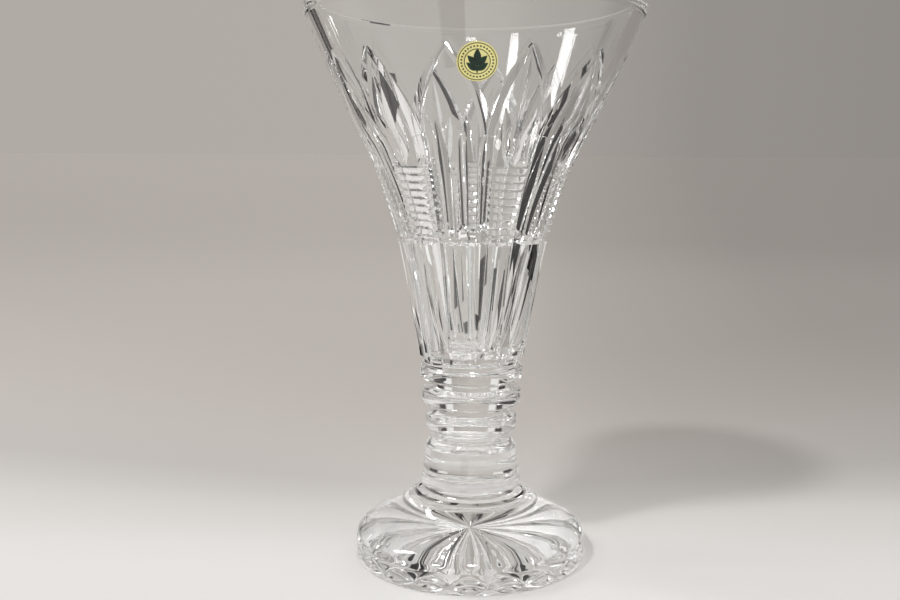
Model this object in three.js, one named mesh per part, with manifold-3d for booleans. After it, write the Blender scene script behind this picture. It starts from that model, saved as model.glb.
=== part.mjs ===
// Footed cut-crystal flower vase.
// Millimetres, +Z up, origin at the middle of the face it stands on.
// Angles round the vase are in degrees from the front (-Y), positive towards +X.
// Five gathers of clear glass are fused end to end: foot, collar, drum knop, ringed stem and bowl.
// A foil label is stuck to the front of the bowl.

import * as THREE from 'three';
import { mergeVertices } from 'three/addons/utils/BufferGeometryUtils.js';
import Module from 'manifold-3d';

const wasm = await Module();
wasm.setup();

// ---- driving dimensions ----

const HEIGHT = 254;
const FOOT_RADIUS = 54.5;
const FOOT_TOP = 28.25;
const COLLAR_TOP = 31.5;
const DRUM_TOP = 58.5;
const STEM_TOP = 93.5;

const FOOT_FACETS = 48;
const STEM_FACETS = 40;
const BOWL_FACETS = 48;

const REPEATS = 6;
const PITCH = 360 / REPEATS;

// wide arch, with two lancets inside it
const WIDE_ARCH_ANGLE = -10;
const WIDE_ARCH_HALF = 16.3;
// narrow arch, above a ladder of cross cuts
const NARROW_ARCH_ANGLE = WIDE_ARCH_ANGLE + PITCH / 2;
const NARROW_ARCH_HALF = PITCH / 2 - WIDE_ARCH_HALF;
const ARCH_APEX_Z = 231.5;
const ARCH_SPRING_Z = 205;

// levels on the bowl, from the bottom of the cutting to the top
const CUT_BOTTOM_Z = 90;
const SPEAR_BASE_Z = 100;
const SPEAR_APEX_Z = 147;
const SHELF_Z = 151;
const LADDER_TOP_Z = 184;
const LANCET_APEX_Z = 205;
const LADDER_RUNGS = 10;

const LABEL_ANGLE = 1.1;
const LABEL_Z = 225;
const LABEL_RADIUS = 8.1;
const LABEL_LIFT = 0.3;
const FOIL_THICKNESS = 0.25;
const INK_LIFT = 0.68;
const INK_THICKNESS = 0.17;

const STAR_RAYS = 16;
const STAR_RADIUS = 46.5;
// a ray's round end, and its half width and depth for each millimetre from the middle
const RAY_END_LENGTH = 8.5;
const RAY_SPREAD = 0.205;
const RAY_SLOPE = 0.09;

// how far a cutting wheel's section stands clear of the glass
const WHEEL_CLEARANCE = 3;
// half angles of the wheels: sharp for ladders and spears, middling for mitres, wide for lancets
const SHARP_WHEEL = 45;
const MITRE_WHEEL = 52;
const WIDE_WHEEL = 65;
// depths of the cuts
const MITRE_DEPTH = 2.5;
const APEX_DEPTH = 1.0;
const LANCET_DEPTH = 2.1;
const RUNG_DEPTH = 1.5;
const SPEAR_DEPTH = 3.1;
const RUN_OUT = -0.05;
// each of the pair of lancets stands this far to one side of the arch
const LANCET_ANGLE = 6.9;
const FAN_LEAN = 7;

// ---- bowl profiles: [radius, height] ----

const BOWL_LIP_Z = 251;
const BOWL_EDGE_Z = 96.5;
const bowlOutside = new THREE.SplineCurve([
  new THREE.Vector2(24.6, BOWL_EDGE_Z),
  new THREE.Vector2(28.9, 121),
  new THREE.Vector2(33.6, 146),
  new THREE.Vector2(39.4, 166),
  new THREE.Vector2(46.8, 187),
  new THREE.Vector2(57.2, 208),
  new THREE.Vector2(67.2, 230),
  new THREE.Vector2(76.6, BOWL_LIP_Z),
]).getPoints(70);

const bowlInside = [
  [71.2, HEIGHT],
  [70.2, 251],
  [51, 208],
  [40, 187],
  [28, 154],
  [17.2, 108],
  [12, 98],
  [0, 96.5],
];

// ---- helpers ----

const radians = THREE.MathUtils.degToRad;
const degrees = THREE.MathUtils.radToDeg;
const lerp = THREE.MathUtils.lerp;

function toSolid(geometry) {
  geometry.deleteAttribute('normal');
  geometry.deleteAttribute('uv');
  const merged = mergeVertices(geometry, 1e-5);
  const index = merged.index.array;
  const triangles = [];
  for (let i = 0; i < index.length; i += 3) {
    const [a, b, c] = [index[i], index[i + 1], index[i + 2]];
    if (a !== b && b !== c && c !== a) triangles.push(a, b, c);
  }
  const mesh = new wasm.Mesh({
    numProp: 3,
    vertProperties: new Float32Array(merged.attributes.position.array),
    triVerts: new Uint32Array(triangles),
  });
  return new wasm.Manifold(mesh);
}

function toGeometry(solid) {
  const mesh = solid.getMesh();
  const geometry = new THREE.BufferGeometry();
  geometry.setAttribute('position', new THREE.BufferAttribute(mesh.vertProperties, 3));
  geometry.setIndex(new THREE.BufferAttribute(mesh.triVerts, 1));
  return geometry;
}

function turned(profile, facets) {
  const points = profile.map(([radius, height]) => new THREE.Vector2(radius, height));
  return new THREE.LatheGeometry(points, facets).rotateX(Math.PI / 2);
}

function cutAway(blank, cutters) {
  return blank.subtract(wasm.Manifold.union(cutters));
}

function bowlRadius(height) {
  const last = bowlOutside.length - 1;
  let i = 0;
  while (i < last - 1 && bowlOutside[i + 1].y < height) i += 1;
  const [low, high] = [bowlOutside[i], bowlOutside[i + 1]];
  return low.x + ((height - low.y) * (high.x - low.x)) / (high.y - low.y);
}

// A place on the bowl's outside, with the directions out of the glass and round the vase.
function bowlPlace(angle, height) {
  const turn = radians(angle);
  const radius = bowlRadius(height);
  const slope = bowlRadius(height + 1) - bowlRadius(height - 1);
  const outward = new THREE.Vector3(Math.sin(turn), -Math.cos(turn), -slope / 2).normalize();
  return {
    point: new THREE.Vector3(radius * Math.sin(turn), -radius * Math.cos(turn), height),
    outward,
    around: new THREE.Vector3(Math.cos(turn), Math.sin(turn), 0),
  };
}

// Closed solid through a row of equal rings of points, capped flat at both ends.
function loft(rings) {
  const size = rings[0].length;
  const positions = rings.flat().flatMap((p) => [p.x, p.y, p.z]);
  const index = [];
  for (let i = 0; i + 1 < rings.length; i += 1) {
    for (let j = 0; j < size; j += 1) {
      const a = i * size + j;
      const b = i * size + ((j + 1) % size);
      index.push(a, b, b + size, a, b + size, a + size);
    }
  }
  const end = (rings.length - 1) * size;
  for (let j = 1; j + 1 < size; j += 1) {
    index.push(0, j + 1, j, end, end + j, end + j + 1);
  }
  const geometry = new THREE.BufferGeometry();
  geometry.setAttribute('position', new THREE.Float32BufferAttribute(positions, 3));
  geometry.setIndex(index);
  const solid = toSolid(geometry);
  if (solid.volume() > 0) return solid;
  geometry.setIndex(index.reverse());
  return toSolid(geometry);
}

// One mitre cut: a V wheel led along a path of { angle, height, depth } on the bowl.
function mitre(path, halfAngle) {
  const places = path.map(({ angle, height }) => bowlPlace(angle, height));
  const half = Math.tan(radians(halfAngle));
  const rings = places.map(({ point, outward }, i) => {
    const before = places[Math.max(i - 1, 0)].point;
    const after = places[Math.min(i + 1, places.length - 1)].point;
    const along = after.clone().sub(before).normalize();
    const side = along.clone().cross(outward).normalize();
    const depth = path[i].depth;
    const wide = (depth + WHEEL_CLEARANCE) * half;
    return [
      point.clone().addScaledVector(outward, -depth),
      point.clone().addScaledVector(outward, WHEEL_CLEARANCE).addScaledVector(side, wide),
      point.clone().addScaledVector(outward, WHEEL_CLEARANCE).addScaledVector(side, -wide),
    ];
  });
  return loft(rings);
}

// Depth of a cut along its length: shallow where the wheel enters and leaves.
function plunge(t, deepest, entry, exit) {
  const rise = entry > 0 ? Math.min(t / entry, 1) : 1;
  const fall = exit > 0 ? Math.min((1 - t) / exit, 1) : 1;
  const ease = Math.min(rise, fall);
  return lerp(RUN_OUT, deepest, 1 - (1 - ease) ** 2);
}

function alongPath(steps, place) {
  return Array.from({ length: steps + 1 }, (_, i) => place(i / steps));
}

// ---- the cuts of the bowl, each for one repeat of the pattern ----

// Upright mitre between a wide and a narrow arch, from the foot of the bowl to the springing.
function boundaryCut(angle) {
  const path = alongPath(4, (t) => ({
    angle,
    height: lerp(CUT_BOTTOM_Z, ARCH_SPRING_Z - 3, t),
    depth: plunge(t, MITRE_DEPTH, 0, 0.12),
  }));
  return mitre(path, MITRE_WHEEL);
}

// One leg of a pointed arch, from its upright mitre in to the apex.
function archLeg(apexAngle, reach) {
  const path = alongPath(5, (t) => ({
    angle: apexAngle + reach * (1 - t ** 1.5),
    height: lerp(ARCH_SPRING_Z - 9, ARCH_APEX_Z, t),
    depth: lerp(MITRE_DEPTH, APEX_DEPTH, t),
  }));
  return mitre(path, MITRE_WHEEL);
}

function lancetCut(angle) {
  const path = alongPath(4, (t) => ({
    angle,
    height: lerp(SHELF_Z, LANCET_APEX_Z, t),
    depth: plunge(t, LANCET_DEPTH, 0.05, 0.5),
  }));
  return mitre(path, WIDE_WHEEL);
}

function ladderRung(angle, height) {
  const reach = NARROW_ARCH_HALF - 1.5;
  const path = alongPath(2, (t) => ({
    angle: angle + lerp(-reach, reach, t),
    height,
    depth: RUNG_DEPTH,
  }));
  return mitre(path, SHARP_WHEEL);
}

function ladderCuts(angle) {
  const pitch = (LADDER_TOP_Z - SHELF_Z) / LADDER_RUNGS;
  return Array.from(
    { length: LADDER_RUNGS },
    (_, i) => ladderRung(angle, SHELF_Z + (i + 0.5) * pitch),
  );
}

// Three long spears spreading from the top of a ladder.
function fanCuts(angle) {
  const spears = [
    { lean: 0, top: ARCH_APEX_Z - 4 },
    { lean: -FAN_LEAN, top: ARCH_SPRING_Z + 3 },
    { lean: FAN_LEAN, top: ARCH_SPRING_Z + 3 },
  ];
  return spears.map(({ lean, top }) => {
    const path = alongPath(4, (t) => ({
      angle: angle + lean * lerp(0.25, 1, t),
      height: lerp(LADDER_TOP_Z, top, t),
      depth: plunge(t, LANCET_DEPTH, 0.3, 0.6),
    }));
    return mitre(path, MITRE_WHEEL);
  });
}

// Spear under a ladder, widest at its foot.
function lowerSpear(angle) {
  const path = alongPath(2, (t) => ({
    angle,
    height: lerp(SPEAR_BASE_Z, SPEAR_APEX_Z, t),
    depth: lerp(SPEAR_DEPTH, RUN_OUT, t),
  }));
  return mitre(path, SHARP_WHEEL);
}

// Level mitre ring round the bowl under the ladders.
function shelfRing() {
  const inner = bowlRadius(SHELF_Z) - MITRE_DEPTH;
  const outer = bowlRadius(SHELF_Z) + WHEEL_CLEARANCE;
  const half = 4;
  const profile = [
    [inner, SHELF_Z],
    [outer, SHELF_Z - half],
    [outer, SHELF_Z + half],
    [inner, SHELF_Z],
  ];
  return toSolid(turned(profile, BOWL_FACETS));
}

// ---- sub-parts ----

function bowl() {
  const outside = alongPath(7, (t) => {
    const height = lerp(BOWL_EDGE_Z, BOWL_LIP_Z, t);
    return [bowlRadius(height), height];
  });
  const profile = [
    [0, STEM_TOP],
    [22.6, STEM_TOP],
    [23.4, STEM_TOP + 2],
    ...outside,
    [76.9, 252.8],
    [75.6, HEIGHT],
    ...bowlInside,
  ];
  const cutters = [shelfRing()];
  for (let i = 0; i < REPEATS; i += 1) {
    const wide = WIDE_ARCH_ANGLE + i * PITCH;
    const narrow = NARROW_ARCH_ANGLE + i * PITCH;
    for (const side of [-1, 1]) {
      cutters.push(boundaryCut(wide + side * WIDE_ARCH_HALF));
      cutters.push(archLeg(wide, side * WIDE_ARCH_HALF));
      cutters.push(archLeg(narrow, side * NARROW_ARCH_HALF));
      cutters.push(lancetCut(wide + side * LANCET_ANGLE));
    }
    cutters.push(...ladderCuts(narrow));
    cutters.push(...fanCuts(narrow));
    cutters.push(lowerSpear(narrow));
  }
  return toGeometry(cutAway(toSolid(turned(profile, BOWL_FACETS)), cutters));
}

// Solid stem with three rings, each left proud between cut grooves.
function ringedStem() {
  const profile = [
    [0, DRUM_TOP],
    [15, DRUM_TOP],
    [15.2, 59.8],
    [20.4, 60.9],
    [21.3, 61.8],
    [21.5, 67],
    [20.7, 67.8],
    [15.8, 68.8],
    [15.8, 71.6],
    [22.2, 73],
    [23.1, 74],
    [23.3, 79.4],
    [22.4, 80.3],
    [17.7, 81.3],
    [17.7, 83.4],
    [23, 85],
    [24, 86],
    [24.1, 90],
    [23.2, 91],
    [22.3, 92],
    [22.6, STEM_TOP],
    [0, STEM_TOP],
  ];
  return turned(profile, STEM_FACETS);
}

function drumKnop() {
  const profile = [
    [0, COLLAR_TOP],
    [20.5, COLLAR_TOP],
    [22.8, 32.8],
    [23.9, 35.2],
    [23.5, 37.8],
    [22.8, 39.5],
    [22.4, 43],
    [21.7, 50],
    [21.2, 53],
    [19, 56.6],
    [15.6, 57.6],
    [15, DRUM_TOP],
    [0, DRUM_TOP],
  ];
  return turned(profile, STEM_FACETS);
}

function collar() {
  const profile = [
    [0, FOOT_TOP],
    [26.2, FOOT_TOP],
    [26.8, 29.2],
    [26.4, 30.6],
    [25.2, COLLAR_TOP],
    [0, COLLAR_TOP],
  ];
  return turned(profile, STEM_FACETS);
}

// One ray of the star under the foot: a hollow flute, deepening outwards to a round end.
function starRay(angle) {
  const shoulder = STAR_RADIUS - RAY_END_LENGTH;
  const place = new THREE.Matrix4().makeRotationZ(radians(180 + angle));
  const section = (reach) => {
    const full = Math.min(reach, shoulder);
    const end = Math.max(0, (reach - shoulder) / RAY_END_LENGTH);
    const half = full * RAY_SPREAD * Math.sqrt(1 - end ** 2);
    const depth = full * RAY_SLOPE * (1 - end ** 2);
    const arch = alongPath(8, (t) => {
      const across = lerp(1, -1, t);
      return new THREE.Vector3(across * half, reach, depth * (1 - across ** 2));
    });
    const under = [-half, half].map((across) => new THREE.Vector3(across, reach, -1));
    return [...arch, ...under].map((point) => point.applyMatrix4(place));
  };
  const ends = [0.35, 0.6, 0.8, 0.93, 0.995].map((t) => shoulder + t * RAY_END_LENGTH);
  return loft([0.5, shoulder / 2, shoulder, ...ends].map(section));
}

function foot() {
  const profile = [
    [0, 0],
    [53.6, 0],
    [FOOT_RADIUS, 0.9],
    [54.3, 9.6],
    [53.1, 12.4],
    [49.6, 15.6],
    [44.5, 18.4],
    [38.5, 21.6],
    [33, 25],
    [29.4, FOOT_TOP],
    [0, FOOT_TOP],
  ];
  const rays = alongPath(STAR_RAYS - 1, (t) => starRay((t * 360 * (STAR_RAYS - 1)) / STAR_RAYS));
  return toGeometry(cutAway(toSolid(turned(profile, FOOT_FACETS)), rays));
}

// A place on the label: across and up from its middle, lifted off the glass.
function labelPlace(across, up, lift) {
  const { outward: middle } = bowlPlace(LABEL_ANGLE, LABEL_Z);
  const height = LABEL_Z + up * Math.hypot(middle.x, middle.y);
  const angle = LABEL_ANGLE + degrees(across / bowlRadius(height));
  const { point, outward } = bowlPlace(angle, height);
  return point.addScaledVector(outward, lift);
}

function labelFoil() {
  const rings = alongPath(8, (t) => {
    const up = LABEL_RADIUS * Math.sin(radians(lerp(-88, 88, t)));
    const half = Math.sqrt(LABEL_RADIUS ** 2 - up ** 2);
    const across = [-1, -0.5, 0, 0.5, 1].map((part) => part * half);
    const back = across.map((x) => labelPlace(x, up, LABEL_LIFT));
    const face = across.map((x) => labelPlace(x, up, LABEL_LIFT + FOIL_THICKNESS));
    return [...face, ...back.reverse()];
  });
  return toGeometry(loft(rings));
}

// One leaf of the printed sprig, leaning out from its foot on the label's upright middle line.
function leaf(footUp, lean, length, width) {
  const turn = radians(lean);
  const rings = alongPath(4, (t) => {
    const along = lerp(0.04, 0.96, t);
    const half = (width / 2) * Math.sin(Math.PI * along ** 0.8);
    const place = (side, lift) => {
      const [x, y] = [side * half, along * length];
      const across = x * Math.cos(turn) + y * Math.sin(turn);
      const up = footUp - x * Math.sin(turn) + y * Math.cos(turn);
      return labelPlace(across, up, lift);
    };
    const face = [-1, 0, 1].map((side) => place(side, INK_LIFT + INK_THICKNESS));
    const back = [1, 0, -1].map((side) => place(side, INK_LIFT));
    return [...face, ...back];
  });
  return loft(rings);
}

function labelEmblem() {
  const stalk = leaf(-5.1, 0, 6.3, 0.9);
  const leaves = [leaf(-0.3, 0, 5.6, 2.9)];
  for (const side of [-1, 1]) {
    leaves.push(leaf(-1.6, side * 44, 5.6, 2.7));
    leaves.push(leaf(-3.6, side * 54, 5.3, 2.6));
  }
  return toGeometry(wasm.Manifold.union([stalk, ...leaves]));
}

// ---- materials ----

function glass(colour) {
  return new THREE.MeshStandardMaterial({ color: colour, roughness: 0.04, metalness: 0 });
}

const crystal = '#dfe4e4';
const goldFoil = new THREE.MeshStandardMaterial({ color: '#d9c75a', roughness: 0.3, metalness: 0.8 });
const greenInk = new THREE.MeshStandardMaterial({ color: '#12402a', roughness: 0.5, metalness: 0 });

// ---- assembly ----

const vase = new THREE.Group();

function add(name, geometry, material) {
  const mesh = new THREE.Mesh(geometry, material);
  mesh.name = name;
  vase.add(mesh);
}

add('foot', foot(), glass(crystal));
add('collar', collar(), glass(crystal));
add('drum_knop', drumKnop(), glass(crystal));
add('ringed_stem', ringedStem(), glass(crystal));
add('bowl', bowl(), glass(crystal));
add('label_foil', labelFoil(), goldFoil);
add('label_emblem', labelEmblem(), greenInk);

export default vase;
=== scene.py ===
"""Footed cut-crystal flower vase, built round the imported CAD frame.

Shapes are worked out in millimetres and turned into metres when a mesh is made.
Cards, lamps and the camera are placed in metres.
Angles round the vase are in degrees from the front (-Y), positive towards +X.
"""

import math
from bisect import bisect_left

import bpy
from mathutils import Matrix, Vector


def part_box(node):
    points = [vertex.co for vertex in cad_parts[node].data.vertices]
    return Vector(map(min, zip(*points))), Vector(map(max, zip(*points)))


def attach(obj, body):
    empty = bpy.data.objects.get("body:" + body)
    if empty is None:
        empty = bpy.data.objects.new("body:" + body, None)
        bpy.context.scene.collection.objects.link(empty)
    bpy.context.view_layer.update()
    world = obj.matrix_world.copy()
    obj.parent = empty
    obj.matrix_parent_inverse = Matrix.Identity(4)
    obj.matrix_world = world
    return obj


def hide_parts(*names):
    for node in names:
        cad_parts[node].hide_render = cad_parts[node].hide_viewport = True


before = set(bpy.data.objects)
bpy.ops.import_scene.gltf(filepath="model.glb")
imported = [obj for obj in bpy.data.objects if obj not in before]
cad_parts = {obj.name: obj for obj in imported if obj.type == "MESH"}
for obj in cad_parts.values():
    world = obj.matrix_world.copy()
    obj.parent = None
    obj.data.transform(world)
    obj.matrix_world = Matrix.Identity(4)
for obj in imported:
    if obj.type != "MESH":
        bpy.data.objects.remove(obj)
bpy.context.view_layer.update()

MM = 0.001


def top_of(node):
    """Height of a CAD node's top, in millimetres."""
    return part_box(node)[1][2] / MM


# ---- driving dimensions, from the frame ----

FOOT_TOP = top_of("foot")
COLLAR_TOP = top_of("collar")
DRUM_TOP = top_of("drum_knop")
STEM_TOP = top_of("ringed_stem")
HEIGHT = top_of("bowl")
FOOT_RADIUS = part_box("foot")[1][0] / MM
RIM_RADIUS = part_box("bowl")[1][0] / MM

# ---- the cut pattern, repeated six times round the bowl ----

REPEATS = 6
PITCH = 360 / REPEATS
WIDE_ARCH_ANGLE = -10
WIDE_ARCH_HALF = 16.3
NARROW_ARCH_ANGLE = WIDE_ARCH_ANGLE + PITCH / 2
NARROW_ARCH_HALF = PITCH / 2 - WIDE_ARCH_HALF
ARCH_APEX_Z = 231.5
ARCH_SPRING_Z = 205
SPEAR_BASE_Z = 100
SPEAR_APEX_Z = 147
SHELF_Z = 151
LADDER_TOP_Z = 184
LANCET_APEX_Z = 205
LADDER_RUNGS = 10
LANCET_ANGLE = 6.9
FAN_LEAN = 7
CUT_BOTTOM_Z = 90
# how far below its spring an arch's leg begins, and how its legs bend inwards
LEG_OVERLAP = 9
LEG_BEND = 1.5
# how far the shelf's V stands out of the bowl, and its half height there
SHELF_CLEARANCE = 3
SHELF_HALF = 4

# half angles of the cutting wheels, and depths of the cuts
SHARP_WHEEL = 45
MITRE_WHEEL = 52
WIDE_WHEEL = 65
MITRE_DEPTH = 2.5
APEX_DEPTH = 1.0
LANCET_DEPTH = 2.1
RUNG_DEPTH = 1.5
SPEAR_DEPTH = 3.1
RUN_OUT = -0.05
# how far each wheel stands out of the glass
WHEEL_CLEARANCE = 1.0
LANCET_CLEARANCE = 0.5
RUNG_CLEARANCE = 0.1

STAR_RAYS = 16
STAR_RADIUS = 46.5
# a ray's round end, and its half width and depth for each millimetre from the middle
RAY_END_LENGTH = 8.5
RAY_SPREAD = 0.205
RAY_SLOPE = 0.09

LABEL_ANGLE = 1.1
LABEL_Z = 225
LABEL_RADIUS = 8.1
LABEL_DOTS = 30
# the label's two rings and its ring of dots, as shares of its radius
LABEL_RINGS = (0.62, 0.92)
DOT_RING = 0.77
# half the printed width of a ring, and the radius of a dot
RING_HALF = 0.16
DOT_RADIUS = 0.36

# ---- outlines: (radius, height) ----

BOWL_EDGE_Z = 96.5
BOWL_LIP_Z = 251

BOWL_OUTSIDE = [
    (24.6, BOWL_EDGE_Z), (28.9, 121), (33.6, 146), (39.4, 166),
    (46.8, 187), (57.2, 208), (67.2, 230), (76.6, BOWL_LIP_Z),
]
BOWL_INSIDE = [
    (70.2, BOWL_LIP_Z), (51, 208), (40, 187), (28, 154), (17.2, 108), (12, 98),
]


def lerp(a, b, t):
    return a + (b - a) * t


def spline(points, steps):
    """Smooth curve through points, with the given number of steps in each span."""
    ends = [points[0], *points, points[-1]]
    curve = []
    for i in range(1, len(ends) - 2):
        p0, p1, p2, p3 = (Vector(p) for p in ends[i - 1:i + 3])
        for step in range(steps):
            t = step / steps
            a = 2 * p1 + (p2 - p0) * t
            b = (2 * p0 - 5 * p1 + 4 * p2 - p3) * t * t
            c = (3 * p1 - p0 - 3 * p2 + p3) * t ** 3
            curve.append((a + b + c) / 2)
    curve.append(Vector(points[-1]))
    return [(p.x, p.y) for p in curve]


BOWL_CURVE = spline(BOWL_OUTSIDE, 12)
BOWL_HEIGHTS = [height for _, height in BOWL_CURVE]


def bowl_radius(height):
    i = min(max(bisect_left(BOWL_HEIGHTS, height), 1), len(BOWL_CURVE) - 1)
    (r0, z0), (r1, z1) = BOWL_CURVE[i - 1], BOWL_CURVE[i]
    return lerp(r0, r1, (height - z0) / (z1 - z0))


def bowl_place(angle, height):
    """A place on the bowl's outside, with the direction out of the glass."""
    turn = math.radians(angle)
    radius = bowl_radius(height)
    slope = (bowl_radius(height + 1) - bowl_radius(height - 1)) / 2
    outward = Vector((math.sin(turn), -math.cos(turn), -slope)).normalized()
    return Vector((radius * math.sin(turn), -radius * math.cos(turn), height)), outward


# ---- meshes ----

# faces round a turned piece
ROUND = 256


def new_object(name, vertices, faces):
    mesh = bpy.data.meshes.new(name)
    mesh.from_pydata([Vector(v) * MM for v in vertices], [], faces)
    mesh.validate()
    obj = bpy.data.objects.new(name, mesh)
    bpy.context.scene.collection.objects.link(obj)
    return obj


def turned(name, profile, segments=ROUND):
    """Solid of revolution. The profile starts and ends on the axis, and runs up the outside."""
    rim = profile[1:-1]
    vertices = [(0, 0, profile[0][1])]
    for radius, height in rim:
        for i in range(segments):
            turn = 2 * math.pi * i / segments
            vertices.append((radius * math.sin(turn), -radius * math.cos(turn), height))
    vertices.append((0, 0, profile[-1][1]))
    last = len(vertices) - 1
    faces = []
    for i in range(segments):
        j = (i + 1) % segments
        faces.append((0, 1 + j, 1 + i))
        for row in range(len(rim) - 1):
            a = 1 + row * segments
            faces.append((a + i, a + j, a + segments + j, a + segments + i))
        top = 1 + (len(rim) - 1) * segments
        faces.append((top + i, top + j, last))
    return new_object(name, vertices, faces)


def loft_data(rings):
    """Vertices and faces of a closed solid through equal rings of points."""
    size = len(rings[0])
    vertices = [point for ring in rings for point in ring]
    faces = []
    for row in range(len(rings) - 1):
        for j in range(size):
            a, b = row * size + j, row * size + (j + 1) % size
            faces.append((a, b, b + size, a + size))
    faces.append(tuple(range(size - 1, -1, -1)))
    faces.append(tuple(range((len(rings) - 1) * size, len(rings) * size)))
    return facing_out(vertices, faces)


def facing_out(vertices, faces):
    """A closed solid with its faces turned over if they faced inwards."""
    volume = 0
    for face in faces:
        first = Vector(vertices[face[0]])
        for i in range(1, len(face) - 1):
            volume += first.dot(Vector(vertices[face[i]]).cross(Vector(vertices[face[i + 1]])))
    if volume < 0:
        faces = [tuple(reversed(face)) for face in faces]
    return vertices, faces


def wedge(path, half_angle, clearance=WHEEL_CLEARANCE):
    """A V wheel led along a path of (angle, height, depth) on the bowl."""
    places = [bowl_place(angle, height) for angle, height, _ in path]
    half = math.tan(math.radians(half_angle))
    rings = []
    for i, (point, outward) in enumerate(places):
        before = places[max(i - 1, 0)][0]
        after = places[min(i + 1, len(places) - 1)][0]
        side = (after - before).cross(outward).normalized()
        depth = path[i][2]
        wide = (depth + clearance) * half
        top = point + outward * clearance
        rings.append([point - outward * depth, top - side * wide, top + side * wide])
    return loft_data(rings)


def joined(name, solids):
    """One object made of closed solids that stand clear of each other."""
    vertices, faces = [], []
    for points, polygons in solids:
        start = len(vertices)
        vertices.extend(points)
        faces.extend(tuple(start + i for i in polygon) for polygon in polygons)
    return new_object(name, vertices, faces)


def cut(target, name, solids):
    """Cuts solids that stand clear of each other out of the target's mesh."""
    boolean(target, joined(name, solids), "DIFFERENCE")


def boolean(target, tool, operation):
    modifier = target.modifiers.new(operation, "BOOLEAN")
    modifier.operation = operation
    modifier.solver = "MANIFOLD"
    modifier.object = tool
    depsgraph = bpy.context.evaluated_depsgraph_get()
    mesh = bpy.data.meshes.new_from_object(target.evaluated_get(depsgraph), depsgraph=depsgraph)
    target.modifiers.clear()
    old = target.data
    target.data = mesh
    bpy.data.meshes.remove(old)
    bpy.data.objects.remove(tool)


def add_to(target, solid):
    """Fuses one closed solid into the target's mesh."""
    tool = joined("fused", [solid])
    boolean(target, tool, "UNION")


def plunge(t, deepest, entry, leave):
    """Depth along a cut: shallow where the wheel enters and leaves."""
    rise = min(t / entry, 1) if entry > 0 else 1
    fall = min((1 - t) / leave, 1) if leave > 0 else 1
    ease = min(rise, fall)
    return lerp(RUN_OUT, deepest, 1 - (1 - ease) ** 2)


def along(steps, place):
    return [place(i / steps) for i in range(steps + 1)]


# ---- cuts of the bowl ----

def boundary_cut(angle):
    return wedge(along(60, lambda t: (
        angle,
        lerp(CUT_BOTTOM_Z, ARCH_SPRING_Z - 3, t),
        plunge(t, MITRE_DEPTH, 0, 0.12),
    )), MITRE_WHEEL)


def arch_leg(apex_angle, reach):
    return wedge(along(40, lambda t: (
        apex_angle + reach * (1 - t ** LEG_BEND),
        lerp(ARCH_SPRING_Z - LEG_OVERLAP, ARCH_APEX_Z, t),
        lerp(MITRE_DEPTH, APEX_DEPTH, t),
    )), MITRE_WHEEL)


def lancet_cut(angle):
    return wedge(along(50, lambda t: (
        angle,
        lerp(SHELF_Z, LANCET_APEX_Z, t),
        plunge(t, LANCET_DEPTH, 0.05, 0.5),
    )), WIDE_WHEEL, LANCET_CLEARANCE)


def ladder_rung(angle, height):
    reach = NARROW_ARCH_HALF - 1.5
    return wedge(along(16, lambda t: (
        angle + lerp(-reach, reach, t), height, RUNG_DEPTH,
    )), SHARP_WHEEL, RUNG_CLEARANCE)


def fan_spear(angle, lean, top):
    return wedge(along(40, lambda t: (
        angle + lean * lerp(0.25, 1, t),
        lerp(LADDER_TOP_Z, top, t),
        plunge(t, LANCET_DEPTH, 0.3, 0.6),
    )), MITRE_WHEEL)


def lower_spear(angle):
    return wedge(along(30, lambda t: (
        angle, lerp(SPEAR_BASE_Z, SPEAR_APEX_Z, t), lerp(SPEAR_DEPTH, RUN_OUT, t),
    )), SHARP_WHEEL)


def shelf_ring():
    """Level V ring round the bowl, under the ladders."""
    inner = bowl_radius(SHELF_Z) - MITRE_DEPTH
    outer = bowl_radius(SHELF_Z) + SHELF_CLEARANCE
    section = [(inner, SHELF_Z), (outer, SHELF_Z - SHELF_HALF), (outer, SHELF_Z + SHELF_HALF)]
    vertices, faces = [], []
    for i in range(ROUND):
        turn = 2 * math.pi * i / ROUND
        vertices.extend((r * math.sin(turn), -r * math.cos(turn), z) for r, z in section)
        for j in range(3):
            k, following = (j + 1) % 3, (i + 1) % ROUND
            faces.append((i * 3 + j, following * 3 + j, following * 3 + k, i * 3 + k))
    return facing_out(vertices, faces)


def cut_bowl(bowl):
    wide = [WIDE_ARCH_ANGLE + i * PITCH for i in range(REPEATS)]
    narrow = [NARROW_ARCH_ANGLE + i * PITCH for i in range(REPEATS)]
    cut(bowl, "shelf", [shelf_ring()])
    pitch = (LADDER_TOP_Z - SHELF_Z) / LADDER_RUNGS
    for parity in (0, 1):
        rungs = range(parity, LADDER_RUNGS, 2)
        cut(bowl, "ladders", [
            ladder_rung(angle, SHELF_Z + (i + 0.5) * pitch) for angle in narrow for i in rungs
        ])
    cut(bowl, "spears", [lower_spear(angle) for angle in narrow])
    cut(bowl, "fan_middle", [fan_spear(angle, 0, ARCH_APEX_Z - 4) for angle in narrow])
    for side in (-1, 1):
        cut(bowl, "lancets", [lancet_cut(angle + side * LANCET_ANGLE) for angle in wide])
        cut(bowl, "fan", [fan_spear(angle, side * FAN_LEAN, ARCH_SPRING_Z + 3) for angle in narrow])
        cut(bowl, "mitres", [boundary_cut(angle + side * WIDE_ARCH_HALF) for angle in wide])
        cut(bowl, "wide_arches", [arch_leg(angle, side * WIDE_ARCH_HALF) for angle in wide])
        cut(bowl, "narrow_arches", [arch_leg(angle, side * NARROW_ARCH_HALF) for angle in narrow])


# ---- glass pieces ----

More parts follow.
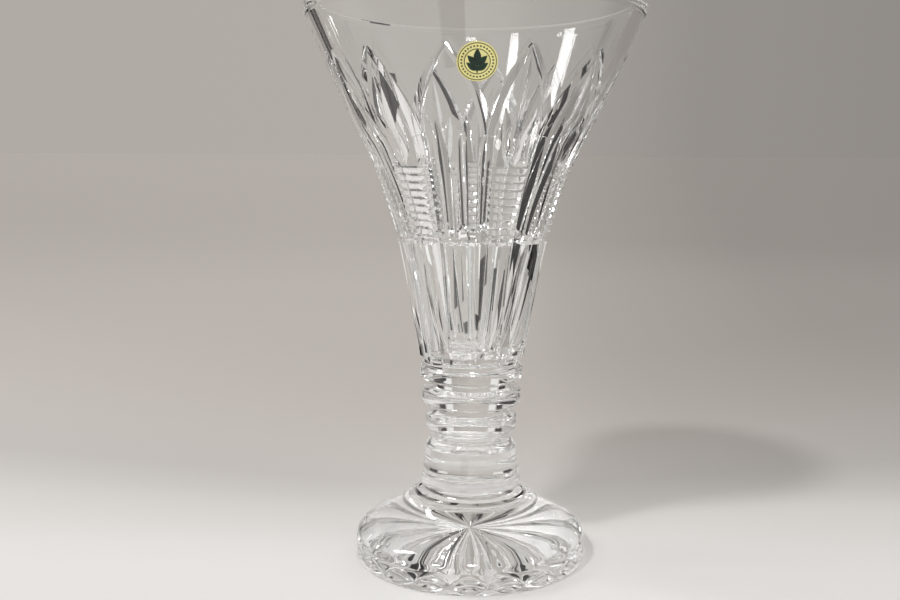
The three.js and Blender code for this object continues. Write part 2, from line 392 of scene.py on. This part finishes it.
def rounded(profile, radius, steps=3):
    """A profile with its corners rounded off, but for the two where it meets its neighbours."""
    result = [profile[0]]
    for i in range(1, len(profile) - 1):
        corner = Vector(profile[i])
        back, ahead = Vector(profile[i - 1]) - corner, Vector(profile[i + 1]) - corner
        keep = i in (1, len(profile) - 2)
        reach = 0 if keep else min(radius, back.length * 0.45, ahead.length * 0.45)
        start, end = corner + back.normalized() * reach, corner + ahead.normalized() * reach
        for step in range(steps + 1 if reach else 1):
            t = step / steps
            point = start * (1 - t) ** 2 + corner * 2 * t * (1 - t) + end * t * t
            result.append((point.x, point.y))
    result.append(profile[-1])
    return result


def make_bowl():
    lip = [(RIM_RADIUS, 252.6), (RIM_RADIUS - 0.3, 253.5), (RIM_RADIUS - 1.3, HEIGHT)]
    inner_lip = [(71.6, HEIGHT), (70.7, 253.4)]
    inside = spline([*BOWL_INSIDE, (7, 96.7), (0, 96.5)], 8)
    profile = [
        (0, STEM_TOP), (22.6, STEM_TOP), (22.8, 94.5), (23.6, 95.6),
        *BOWL_CURVE, *lip, *inner_lip, *inside,
    ]
    bowl = turned("crystal_bowl", profile)
    cut_bowl(bowl)
    return bowl


def make_stem():
    profile = [
        (0, DRUM_TOP), (15, DRUM_TOP), (15.2, 59.8), (20.4, 60.9), (21.3, 61.8), (21.5, 67),
        (20.7, 67.8), (15.8, 68.8), (15.8, 71.6), (22.2, 73), (23.1, 74), (23.3, 79.4),
        (22.4, 80.3), (17.7, 81.3), (17.7, 83.4), (23, 85), (24, 86), (24.1, 90),
        (23.2, 91), (22.3, 92), (22.6, STEM_TOP), (0, STEM_TOP),
    ]
    return turned("crystal_stem", rounded(profile, 0.35))


def make_drum():
    profile = [
        (0, COLLAR_TOP), (20.5, COLLAR_TOP), (22.8, 32.8), (23.9, 35.2), (23.5, 37.8),
        (22.8, 39.5), (22.4, 43), (21.7, 50), (21.2, 53), (19, 56.6), (15.6, 57.6),
        (15, DRUM_TOP), (0, DRUM_TOP),
    ]
    return turned("crystal_drum", rounded(profile, 1.0))


def make_collar():
    profile = [
        (0, FOOT_TOP), (26.2, FOOT_TOP), (26.8, 29.2), (26.4, 30.6), (25.2, COLLAR_TOP),
        (0, COLLAR_TOP),
    ]
    return turned("crystal_collar", rounded(profile, 0.6))


def star_ray(angle):
    """A hollow flute under the foot, deepening outwards to a round end."""
    shoulder = STAR_RADIUS - RAY_END_LENGTH
    place = Matrix.Rotation(math.radians(180 + angle), 4, "Z")
    reaches = [0.5] + [shoulder * i / 6 for i in range(1, 6)]
    reaches += [shoulder + RAY_END_LENGTH * math.sin(math.pi / 2 * i / 16) for i in range(16)]
    steps = 28
    rings = []
    for reach in reaches:
        full, end = min(reach, shoulder), max(0, (reach - shoulder) / RAY_END_LENGTH)
        half = full * RAY_SPREAD * math.sqrt(1 - end ** 2)
        depth = full * RAY_SLOPE * (1 - end ** 2)
        ring = [
            (across * half, reach, depth * (1 - across ** 2))
            for across in (lerp(1, -1, i / steps) for i in range(steps + 1))
        ]
        ring += [(-half, reach, -1), (half, reach, -1)]
        rings.append([place @ Vector(point) for point in ring])
    return loft_data(rings)


def make_foot():
    dome = spline([
        (54.3, 9.6), (53.1, 12.4), (49.6, 15.6), (44.5, 18.4), (38.5, 21.6), (33, 25),
        (29.4, FOOT_TOP),
    ], 6)
    rim = [(0, 0), (53.6, 0), (54.2, 0.25), (FOOT_RADIUS, 0.9), (FOOT_RADIUS, 3)]
    foot = turned("crystal_foot", [*rim, *dome, (0, FOOT_TOP)])
    for ray in range(STAR_RAYS):
        cut(foot, "ray", [star_ray(ray * 360 / STAR_RAYS)])
    return foot


# ---- label ----

LABEL_LIFT = 0.3
FOIL_THICKNESS = 0.2
INK_LIFT = 0.52
INK_THICKNESS = 0.06
LEAF_STEPS = 24


def label_place(across, up, lift):
    """A place on the label: across and up from its middle, lifted off the glass."""
    outward = bowl_place(LABEL_ANGLE, LABEL_Z)[1]
    height = LABEL_Z + up * math.hypot(outward.x, outward.y)
    angle = LABEL_ANGLE + math.degrees(across / bowl_radius(height))
    point, outward = bowl_place(angle, height)
    return point + outward * lift


def label_ring(radius, lift, sides=120):
    turns = (2 * math.pi * i / sides for i in range(sides))
    return [label_place(radius * math.cos(a), radius * math.sin(a), lift) for a in turns]


def band_data(inner, outer, bottom, top):
    """A flat ring on the label, closed all round."""
    rings = [
        label_ring(inner, bottom), label_ring(inner, top),
        label_ring(outer, top), label_ring(outer, bottom),
    ]
    sides = len(rings[0])
    vertices = [point for ring in rings for point in ring]
    faces = []
    for row in range(4):
        for j in range(sides):
            k, following = (j + 1) % sides, (row + 1) % 4
            faces.append((row * sides + j, row * sides + k,
                          following * sides + k, following * sides + j))
    return facing_out(vertices, faces)


def dot_data(angle, reach, radius, sides=14):
    """A small printed dot with a rounded face."""
    turn = math.radians(angle)
    across, up = reach * math.sin(turn), reach * math.cos(turn)
    rings = []
    for share, lift in ((1, INK_LIFT), (1, INK_LIFT + INK_THICKNESS * 0.6),
                        (0.75, INK_LIFT + INK_THICKNESS), (0.3, INK_LIFT + INK_THICKNESS * 1.1)):
        rings.append([
            label_place(across + share * radius * math.cos(a), up + share * radius * math.sin(a), lift)
            for a in (2 * math.pi * i / sides for i in range(sides))
        ])
    return loft_data(rings)


def leaf_data(foot_up, lean, length, width):
    """One leaf of the sprig, from its foot on the middle line, with a vein pressed in along it."""
    turn = math.radians(lean)
    rings = []
    for i in range(LEAF_STEPS + 1):
        share = lerp(0.02, 0.985, i / LEAF_STEPS)
        half = width / 2 * math.sin(math.pi * share ** 0.8)
        section = [(-1, 0), (-0.9, 1), (-0.12, 1.5), (0, 0.7), (0.12, 1.5), (0.9, 1), (1, 0)]
        ring = []
        for side, rise in section:
            x, y = side * half, share * length
            across = x * math.cos(turn) + y * math.sin(turn)
            up = foot_up - x * math.sin(turn) + y * math.cos(turn)
            ring.append(label_place(across, up, INK_LIFT + rise * INK_THICKNESS))
        rings.append(ring)
    return loft_data(rings)


def make_label_foil():
    """A round of foil with two low rings raised on it."""
    relief = [(0, 0)]
    for ring in LABEL_RINGS:
        middle = ring * LABEL_RADIUS
        relief += [(middle - 0.45, 0), (middle - 0.3, 0.05), (middle, 0.07), (middle + 0.3, 0.05),
                   (middle + 0.45, 0)]
    relief += [(LABEL_RADIUS - 0.12, 0), (LABEL_RADIUS - 0.03, -0.04)]
    top = LABEL_LIFT + FOIL_THICKNESS
    outline = [(radius, top + rise) for radius, rise in relief[1:]]
    outline += [(LABEL_RADIUS, top - 0.1), (LABEL_RADIUS, LABEL_LIFT)]
    rings = [label_ring(0.02, top)] + [label_ring(radius, lift) for radius, lift in outline]
    rings.append(label_ring(0.02, LABEL_LIFT))
    return joined("gold_label", [loft_data(rings)])


def make_label_print():
    """A sprig of five leaves on a stalk, and a border of two rings with dots between them."""
    solids = [leaf_data(-5.1, 0, 6.3, 0.9), leaf_data(-0.3, 0, 5.6, 2.9)]
    for foot_up, lean, length, width in ((-1.6, 44, 5.6, 2.7), (-3.6, 54, 5.3, 2.6)):
        solids += [leaf_data(foot_up, side * lean, length, width) for side in (-1, 1)]
    top = INK_LIFT + INK_THICKNESS
    sprig = joined("label_sprig", solids[:1])
    for solid in solids[1:]:
        add_to(sprig, solid)
    middles = [ring * LABEL_RADIUS for ring in LABEL_RINGS]
    rings = [band_data(r - RING_HALF, r + RING_HALF, top - 0.1, top + 0.03) for r in middles]
    reach = DOT_RING * LABEL_RADIUS
    dots = [dot_data(i * 360 / LABEL_DOTS, reach, DOT_RADIUS) for i in range(LABEL_DOTS)]
    return sprig, joined("label_border", rings + dots)


# ---- materials ----

CRYSTAL_IOR = 1.545


def crystal_material():
    material = bpy.data.materials.new("crystal")
    material.use_nodes = True
    nodes, links = material.node_tree.nodes, material.node_tree.links
    shader = nodes["Principled BSDF"]
    shader.inputs["Base Color"].default_value = (0.985, 0.992, 0.99, 1)
    shader.inputs["Transmission Weight"].default_value = 1
    shader.inputs["IOR"].default_value = CRYSTAL_IOR
    coordinates = nodes.new("ShaderNodeTexCoord")
    waves = nodes.new("ShaderNodeTexNoise")
    waves.inputs["Scale"].default_value = 45
    waves.inputs["Detail"].default_value = 2
    bump = nodes.new("ShaderNodeBump")
    bump.inputs["Strength"].default_value = 0.35
    bump.inputs["Distance"].default_value = 0.00006
    smears = nodes.new("ShaderNodeTexNoise")
    smears.inputs["Scale"].default_value = 120
    smears.inputs["Detail"].default_value = 6
    spread = nodes.new("ShaderNodeMapRange")
    spread.inputs["From Min"].default_value = 0.55
    spread.inputs["From Max"].default_value = 0.8
    spread.inputs["To Min"].default_value = 0.0
    spread.inputs["To Max"].default_value = 0.02
    links.new(coordinates.outputs["Object"], waves.inputs["Vector"])
    links.new(coordinates.outputs["Object"], smears.inputs["Vector"])
    links.new(waves.outputs["Fac"], bump.inputs["Height"])
    links.new(bump.outputs["Normal"], shader.inputs["Normal"])
    links.new(smears.outputs["Fac"], spread.inputs["Value"])
    links.new(spread.outputs["Result"], shader.inputs["Roughness"])
    return material


def seam_material():
    """The fused faces between gathers, which light crosses as if they weren't there."""
    material = bpy.data.materials.new("fused_seam")
    material.use_nodes = True
    nodes, links = material.node_tree.nodes, material.node_tree.links
    nodes.remove(nodes["Principled BSDF"])
    clear = nodes.new("ShaderNodeBsdfTransparent")
    links.new(clear.outputs["BSDF"], nodes["Material Output"].inputs["Surface"])
    return material


CRYSTAL = crystal_material()
SEAM = seam_material()
SHARP_ANGLE = math.radians(11)
# how near a seam a level face has to be to belong to it, in millimetres
SEAM_REACH = 0.02


def foil_material():
    """Gold lacquered foil, pressed with a fine orange-peel grain."""
    material = bpy.data.materials.new("gold_foil")
    material.use_nodes = True
    tree = material.node_tree
    shader = tree.nodes["Principled BSDF"]
    shader.inputs["Metallic"].default_value = 0.55
    coordinates = tree.nodes.new("ShaderNodeTexCoord")
    grain = tree.nodes.new("ShaderNodeTexNoise")
    grain.inputs["Scale"].default_value = 900
    grain.inputs["Detail"].default_value = 4
    stain = tree.nodes.new("ShaderNodeTexNoise")
    stain.inputs["Scale"].default_value = 160
    colour = tree.nodes.new("ShaderNodeValToRGB")
    colour.color_ramp.elements[0].color = (1, 0.9, 0.33, 1)
    colour.color_ramp.elements[1].color = (1, 0.97, 0.5, 1)
    bump = tree.nodes.new("ShaderNodeBump")
    bump.inputs["Strength"].default_value = 0.25
    bump.inputs["Distance"].default_value = 0.00004
    worn = tree.nodes.new("ShaderNodeMapRange")
    worn.inputs["To Min"].default_value = 0.26
    worn.inputs["To Max"].default_value = 0.5
    tree.links.new(coordinates.outputs["Object"], grain.inputs["Vector"])
    tree.links.new(coordinates.outputs["Object"], stain.inputs["Vector"])
    tree.links.new(stain.outputs["Fac"], colour.inputs["Fac"])
    tree.links.new(colour.outputs["Color"], shader.inputs["Base Color"])
    tree.links.new(grain.outputs["Fac"], bump.inputs["Height"])
    tree.links.new(bump.outputs["Normal"], shader.inputs["Normal"])
    tree.links.new(grain.outputs["Fac"], worn.inputs["Value"])
    tree.links.new(worn.outputs["Result"], shader.inputs["Roughness"])
    return material


def ink_material(name, dark, light):
    """Printed ink with a little mottle in its colour."""
    material = bpy.data.materials.new(name)
    material.use_nodes = True
    tree = material.node_tree
    shader = tree.nodes["Principled BSDF"]
    shader.inputs["Roughness"].default_value = 0.42
    coordinates = tree.nodes.new("ShaderNodeTexCoord")
    mottle = tree.nodes.new("ShaderNodeTexNoise")
    mottle.inputs["Scale"].default_value = 420
    mottle.inputs["Detail"].default_value = 3
    colour = tree.nodes.new("ShaderNodeValToRGB")
    colour.color_ramp.elements[0].position = 0.35
    colour.color_ramp.elements[0].color = dark
    colour.color_ramp.elements[1].position = 0.7
    colour.color_ramp.elements[1].color = light
    tree.links.new(coordinates.outputs["Object"], mottle.inputs["Vector"])
    tree.links.new(mottle.outputs["Fac"], colour.inputs["Fac"])
    tree.links.new(colour.outputs["Color"], shader.inputs["Base Color"])
    return material


def finish_label():
    sprig, border = make_label_print()
    green = ink_material("green_ink", (0.002, 0.016, 0.006, 1), (0.005, 0.045, 0.02, 1))
    brown = ink_material("border_ink", (0.012, 0.012, 0.004, 1), (0.05, 0.045, 0.012, 1))
    pieces = (
        (make_label_foil(), foil_material(), "label_foil", "gold_foil"),
        (sprig, green, "label_emblem", "green_ink"),
        (border, brown, "label_emblem", "green_ink"),
    )
    for obj, material, node, slot in pieces:
        obj.data.materials.clear()
        obj.data.materials.append(material)
        obj.data.polygons.foreach_set("use_smooth", [True] * len(obj.data.polygons))
        obj.data.set_sharp_from_angle(angle=math.radians(40))
        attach(obj, "root")
        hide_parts(node)


def finish_glass(obj, node, seams):
    """Smooth shading between sharp cuts, with the fused faces on their own material."""
    mesh = obj.data
    mesh.materials.clear()
    mesh.materials.append(CRYSTAL)
    mesh.materials.append(SEAM)
    mesh.polygons.foreach_set("use_smooth", [True] * len(mesh.polygons))
    for polygon in mesh.polygons:
        height = polygon.center.z / MM
        flat = abs(polygon.normal.z) > 0.999
        fused = flat and any(abs(height - seam) < SEAM_REACH for seam in seams)
        polygon.material_index = 1 if fused else 0
    mesh.set_sharp_from_angle(angle=SHARP_ANGLE)
    obj.visible_shadow = node in ("bowl", "foot")
    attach(obj, "root")
    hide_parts(node)


finish_glass(make_bowl(), "bowl", [STEM_TOP])
finish_glass(make_stem(), "ringed_stem", [DRUM_TOP, STEM_TOP])
finish_glass(make_drum(), "drum_knop", [COLLAR_TOP, DRUM_TOP])
finish_glass(make_collar(), "collar", [FOOT_TOP, COLLAR_TOP])
finish_glass(make_foot(), "foot", [FOOT_TOP])
finish_label()


# ---- stage ----

# The room's tone from front (-1) to back (1), and the share of it left behind the vase, from the
# left (-1) to the right (1). In front of the vase those shares swap sides. The stops were chosen by
# comparing tones measured in the photo's background and in test renders, and rounded by hand.
# On the floor these stops are painted light and shade: a painted pool of light round the vase that
# fades into the room's darker walls further behind it, and painted shade on the right behind the vase.
DEPTH_TONES = [
    (-1, 0.62), (-0.5, 0.7), (-0.2, 0.7), (-0.06, 0.68), (0.01, 0.65), (0.08, 0.6), (0.15, 0.55),
    (0.21, 0.49), (0.28, 0.44), (0.4, 0.435), (0.5, 0.415), (0.65, 0.39), (0.82, 0.39), (1, 0.41),
]
SIDE_TONES = [
    (-1, 1.03), (0, 1), (0.04, 0.96), (0.06, 0.89), (0.09, 0.83), (0.2, 0.69), (0.35, 0.66), (1, 0.65),
]
FAR_TINT = Vector((1.075, 1, 0.93))
NEAR_TINT = Vector((1.02, 1, 0.965))
DEPTH_REACH = 0.25
SIDE_REACH = 0.5
# the light that falls on the floor, for a floor that shows the room's tone
FLOOR_LIGHT = (0.825, 0.82, 0.8)
FLOOR_RADIUS = 40000
# how far the floor lies below the foot, in metres, so that their faces don't coincide
FLOOR_GAP = 0.0002
CEILING = (0.56, 0.55, 0.53, 1)
# the upward part of a direction where the ceiling begins, and where nothing else is left
CEILING_FROM = 0.55
CEILING_FULL = 0.95


def calculate(tree, operation, first, second=None):
    node = tree.nodes.new("ShaderNodeMath")
    node.operation = operation
    for socket, value in zip(node.inputs, (first, second)):
        if isinstance(value, (int, float)):
            socket.default_value = value
        elif value is not None:
            tree.links.new(value, socket)
    return node.outputs[0]


def tone_ramp(tree, value, tones, near_tint, far_tint):
    """A tone that runs through (place, tone) stops, for a value from -1 to 1."""
    ramp = tree.nodes.new("ShaderNodeValToRGB")
    elements = ramp.color_ramp.elements
    while len(elements) < len(tones):
        elements.new(0.5)
    for element, (place, tone) in zip(elements, tones):
        element.position = (place + 1) / 2
        tint = near_tint.lerp(far_tint, min(max(2 * place, 0), 1))
        element.color = (*(tone * tint), 1)
    halved = calculate(tree, "MULTIPLY", value, 0.5)
    tree.links.new(calculate(tree, "ADD", halved, 0.5), ramp.inputs[0])
    return ramp.outputs[0]


def room_light(tree, place, depth_reach, side_reach):
    """The room's light round the vase: the world's glow, and on the floor a painted pool of light and
    shade. A reach keeps it even close to the vase.
    """
    split = tree.nodes.new("ShaderNodeSeparateXYZ")
    tree.links.new(place, split.inputs[0])
    x, y = split.outputs[0], split.outputs[1]
    squares = calculate(tree, "ADD", calculate(tree, "POWER", x, 2), calculate(tree, "POWER", y, 2))
    away = calculate(tree, "SQRT", squares)
    depth = calculate(tree, "DIVIDE", y, calculate(tree, "ADD", away, depth_reach))
    side = calculate(tree, "DIVIDE", x, calculate(tree, "ADD", away, side_reach))
    side = calculate(tree, "MULTIPLY", side, depth)
    tone = tree.nodes.new("ShaderNodeVectorMath")
    tone.operation = "MULTIPLY"
    white = Vector((1, 1, 1))
    tree.links.new(tone_ramp(tree, depth, DEPTH_TONES, NEAR_TINT, FAR_TINT), tone.inputs[0])
    tree.links.new(tone_ramp(tree, side, SIDE_TONES, white, white), tone.inputs[1])
    return tone.outputs[0]


def make_floor():
    sides = 96
    points = [(0, 0, 0)] + [
        (FLOOR_RADIUS * math.cos(a), FLOOR_RADIUS * math.sin(a), 0)
        for a in (2 * math.pi * i / sides for i in range(sides))
    ]
    faces = [(0, 1 + i, 1 + (i + 1) % sides) for i in range(sides)]
    floor = new_object("floor", points, faces)
    floor.location.z = -FLOOR_GAP
    material = bpy.data.materials.new("pale_floor")
    material.use_nodes = True
    tree = material.node_tree
    shader = tree.nodes["Principled BSDF"]
    shader.inputs["Roughness"].default_value = 0.6
    shader.inputs["Specular IOR Level"].default_value = 0
    coordinates = tree.nodes.new("ShaderNodeTexCoord")
    # The floor's colour is painted light: the room's light divided by the light that falls on the
    # floor, so it shows a painted pool of light round the vase and painted shade to the right behind
    # it.
    tone = room_light(tree, coordinates.outputs["Object"], DEPTH_REACH, SIDE_REACH)
    shade = tree.nodes.new("ShaderNodeVectorMath")
    shade.operation = "DIVIDE"
    shade.inputs[1].default_value = FLOOR_LIGHT
    tree.links.new(tone, shade.inputs[0])
    tree.links.new(shade.outputs[0], shader.inputs["Base Color"])
    floor.data.materials.append(material)


def make_world():
    """The room's tone along the horizon, blending into an even ceiling."""
    world = bpy.data.worlds.new("studio")
    world.use_nodes = True
    tree = world.node_tree
    coordinates = tree.nodes.new("ShaderNodeTexCoord")
    tone = room_light(tree, coordinates.outputs["Generated"], 0, 0)
    split = tree.nodes.new("ShaderNodeSeparateXYZ")
    tree.links.new(coordinates.outputs["Generated"], split.inputs[0])
    rise = tree.nodes.new("ShaderNodeMapRange")
    rise.interpolation_type = "SMOOTHSTEP"
    rise.inputs["From Min"].default_value = CEILING_FROM
    rise.inputs["From Max"].default_value = CEILING_FULL
    tree.links.new(split.outputs[2], rise.inputs["Value"])
    mix = tree.nodes.new("ShaderNodeMix")
    mix.data_type = "RGBA"
    mix.inputs["B"].default_value = CEILING
    tree.links.new(rise.outputs["Result"], mix.inputs["Factor"])
    tree.links.new(tone, mix.inputs["A"])
    tree.links.new(mix.outputs["Result"], tree.nodes["Background"].inputs["Color"])
    tree.nodes["Background"].inputs["Strength"].default_value = 1
    bpy.context.scene.world = world


# the height the soft boxes are aimed at, and how far the nearest cards stand from the vase's axis
LIGHT_AIM = 0.14
NEAR_CARD = 0.17
CARD_BLACK = (0.006, 0.005, 0.006, 1)
CARD_WHITE = (1, 0.98, 0.95, 1)


def area_light(name, azimuth, elevation, distance, size, watts):
    """A soft box aimed near the middle of the vase, from an angle round it and above the floor."""
    middle = Vector((0, 0, LIGHT_AIM))
    turn, rise = math.radians(azimuth), math.radians(elevation)
    across = math.cos(rise)
    away = Vector((across * math.sin(turn), -across * math.cos(turn), math.sin(rise)))
    data = bpy.data.lights.new(name, "AREA")
    data.shape = "RECTANGLE"
    data.size, data.size_y = size
    data.energy = watts
    light = bpy.data.objects.new(name, data)
    light.location = middle + away * distance
    light.rotation_euler = (-away).to_track_quat("-Z", "Y").to_euler()
    bpy.context.scene.collection.objects.link(light)


def card(name, azimuth, distance, width, bottom, top, glow=0):
    """A black card, or a white one if it glows, hidden from the camera and seen in glass and foil."""
    turn = math.radians(azimuth)
    centre = Vector((math.sin(turn), -math.cos(turn), 0)) * distance
    across = Vector((math.cos(turn), math.sin(turn), 0)) * width / 2
    corners = [
        centre - across + Vector((0, 0, bottom)), centre + across + Vector((0, 0, bottom)),
        centre + across + Vector((0, 0, top)), centre - across + Vector((0, 0, top)),
    ]
    sheet = new_object(name, [corner / MM for corner in corners], [(0, 1, 2, 3)])
    material = bpy.data.materials.new(name)
    material.use_nodes = True
    shader = material.node_tree.nodes["Principled BSDF"]
    shader.inputs["Base Color"].default_value = CARD_BLACK
    shader.inputs["Roughness"].default_value = 0.9
    shader.inputs["Specular IOR Level"].default_value = 0
    shader.inputs["Emission Color"].default_value = CARD_WHITE
    shader.inputs["Emission Strength"].default_value = glow
    sheet.data.materials.append(material)
    sheet.visible_camera = False
    sheet.visible_diffuse = False
    sheet.visible_shadow = False


def far_lamp(name, azimuth, elevation, strength, width, shadow=True):
    """A lamp far enough away to light the whole floor evenly."""
    data = bpy.data.lights.new(name, "SUN")
    data.use_shadow = shadow
    data.energy = strength
    data.angle = math.radians(width)
    lamp = bpy.data.objects.new(name, data)
    turn, rise = math.radians(azimuth), math.radians(elevation)
    away = Vector((math.cos(rise) * math.sin(turn), -math.cos(rise) * math.cos(turn), math.sin(rise)))
    lamp.rotation_euler = (-away).to_track_quat("-Z", "Y").to_euler()
    bpy.context.scene.collection.objects.link(lamp)


def make_lights():
    """Two far lamps that light the floor, and two soft boxes that reflect in the glass."""
    far_lamp("key", -42, 50, 0.85, 6)
    far_lamp("front_lamp", 4, 64, 0.45, 6, shadow=False)
    area_light("left_lamp", -101, 48, 1.5, (0.2, 0.5), 3)
    area_light("back_lamp", 162, 28, 1.5, (0.2, 0.2), 0.8)


def make_cards():
    """Cards whose places were fitted to the photo's one view."""
    card("right_card", 107, NEAR_CARD, 0.145, 0.08, 0.155)
    card("low_right_card", 144, NEAR_CARD, 0.085, 0.055, 0.108)
    card("spear_card", -158, NEAR_CARD, 0.015, 0.2, 0.234)
    card("left_card", -138, 0.7, 0.12, 0, 0.38)
    card("front_card", -15, 0.3, 0.09, 0, 0.08)
    card("high_left_card", -152, 1.2, 0.45, 0.8, 1.9)
    card("high_right_card", 146, 1.2, 0.45, 0.9, 1.9)
    for side in (-1, 1):
        card("white_card", side * 156, 0.7, 0.15, 0, 0.06, glow=1)
        card("low_white_card", side * 158, 0.32, 0.05, 0, 0.04, glow=0.8)
        card("neck_card", side * 145, 0.3, 0.07, 0, 0.04)


def make_camera():
    """Stands level with the upper bowl and looks a little down, with the vase right of centre."""
    focal_pixels, frame_width, sensor = 1040, 900, 36
    data = bpy.data.cameras.new("camera")
    data.sensor_width = sensor
    data.lens = focal_pixels * sensor / frame_width
    data.clip_start = 0.01
    camera = bpy.data.objects.new("camera", data)
    camera.location = (0, -0.48, 0.1905)
    pitch, yaw, roll = 8.2, 1.22, 0.34
    camera.rotation_euler = (
        Matrix.Rotation(math.radians(yaw), 3, "Z")
        @ Matrix.Rotation(math.radians(90 - pitch), 3, "X")
        @ Matrix.Rotation(math.radians(roll), 3, "Z")
    ).to_euler()
    bpy.context.scene.collection.objects.link(camera)
    bpy.context.scene.camera = camera


make_floor()
make_world()
make_lights()
make_cards()
make_camera()

# light has to cross many faces of cut glass
GLASS_BOUNCES = 24
scene = bpy.context.scene
scene.view_settings.view_transform = "Standard"
scene.cycles.use_denoising = True
scene.cycles.max_bounces = GLASS_BOUNCES
scene.cycles.transmission_bounces = GLASS_BOUNCES
scene.cycles.glossy_bounces = GLASS_BOUNCES
scene.cycles.transparent_max_bounces = 16
